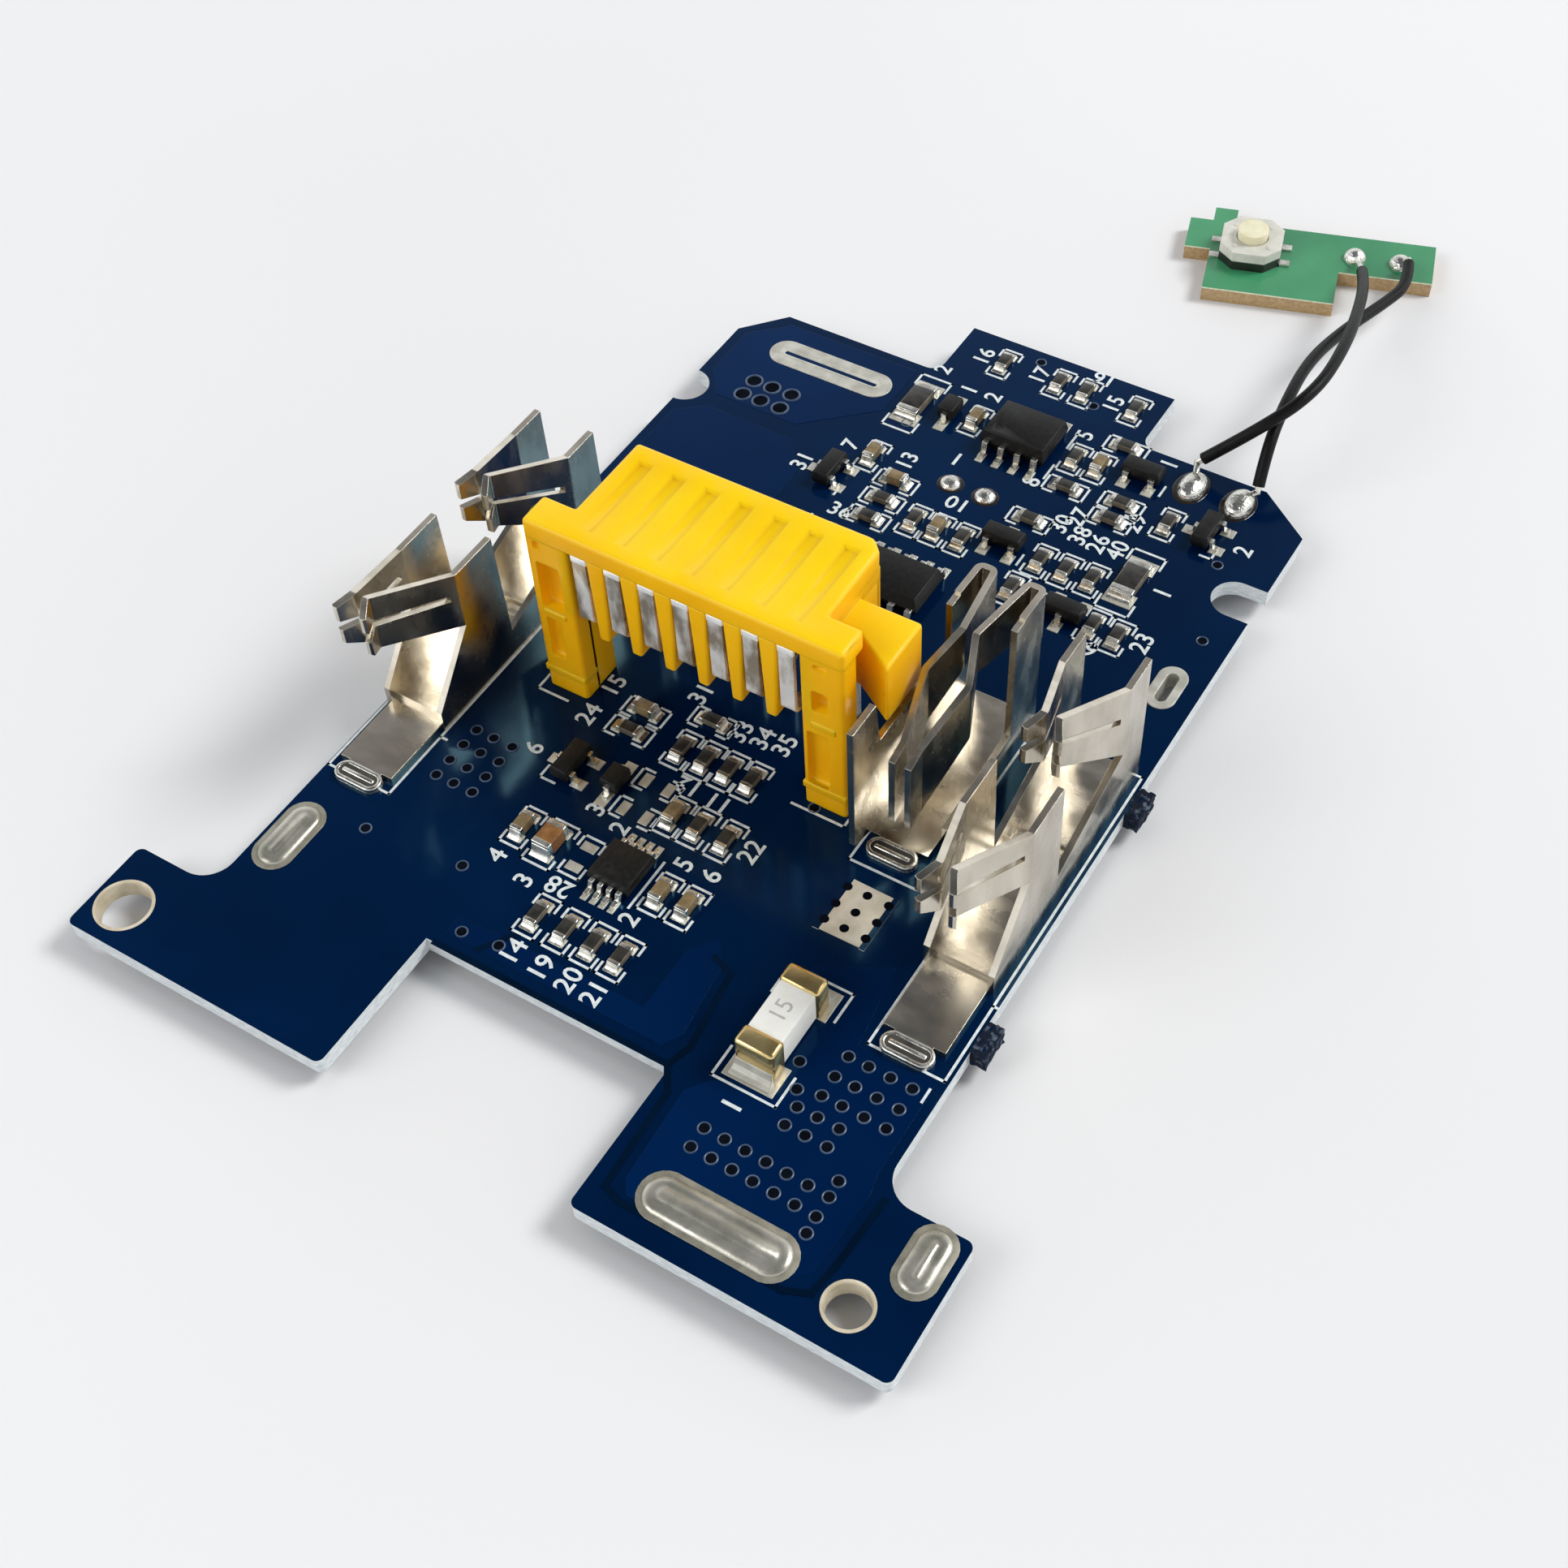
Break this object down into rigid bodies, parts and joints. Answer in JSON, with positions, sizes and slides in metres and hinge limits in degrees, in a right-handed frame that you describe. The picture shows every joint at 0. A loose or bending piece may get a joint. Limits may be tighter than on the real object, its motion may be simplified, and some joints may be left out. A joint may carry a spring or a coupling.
{
  "type": "battery management board",
  "caption": "Flat board with two mounting feet, yellow blade connector, bent spring power terminals, surface parts and a small switch board on two short leads.",
  "frame": {"origin": "axis of the left foot's screw hole on the board's top face", "axes": "+X across the two feet towards the right screw hole, +Y towards the rear tab and the switch board, +Z off the component side"},
  "size_m": [0.0566, 0.1006, 0.0168],
  "materials": {
    "board_mask": "glossy solder mask",
    "solder": "tinned",
    "chip_black": "glazed",
    "chip_tan": "matt",
    "mould_black": "matt moulded",
    "fuse_ceramic": "matt",
    "fuse_cap": "plated",
    "housing_yellow": "glossy, slightly translucent",
    "spring_sheet": "bright nickel plate",
    "bead_glass": "glossy",
    "wire_black": "satin insulation",
    "key_board_mask": "glossy solder mask",
    "tact_white": "moulded",
    "plunger_cream": "moulded"
  },
  "bodies": {
    "board": {"big_capacitor_body": "chip_tan", "big_capacitor_ends": "solder", "capacitor_bodies": "chip_tan", "capacitor_ends": "solder", "connector_contacts": "spring_sheet", "connector_housing": "housing_yellow", "diode_bodies": "mould_black", "diode_leads": "solder", "fuse_body": "fuse_ceramic", "fuse_caps": "fuse_cap", "inner_terminal": "spring_sheet", "key_joints": "solder", "lead_a": "wire_black", "lead_b": "wire_black", "lead_ends": "solder", "left_terminal": "spring_sheet", "main_board": "board_mask", "msop8_body": "mould_black", "msop8_leads": "solder", "resistor_bodies": "chip_black", "resistor_ends": "solder", "right_terminal": "spring_sheet", "shunt_bodies": "chip_black", "shunt_ends": "solder", "slot_plating": "solder", "slot_solder": "solder", "soic16_body": "mould_black", "soic16_leads": "solder", "soic8_body": "mould_black", "soic8_leads": "solder", "solder_lands": "solder", "sot23_bodies": "mould_black", "sot23_leads": "solder", "switch_board": "key_board_mask", "switch_dome": "solder", "tact_base": "tact_white", "tact_legs": "solder", "terminal_solder": "solder", "thermistor_bead": "bead_glass", "thermistor_joints": "solder", "thermistor_leads": "solder", "wire_blobs": "solder"},
    "button": {"switch_plunger": "plunger_cream"}
  },
  "joints": [
    {"name": "switch_press", "type": "slide", "parent": "board", "child": "button", "axis": [0, 0, -1], "range_m": [0, 0.00025], "stiffness_N_per_m": 800}
  ]
}
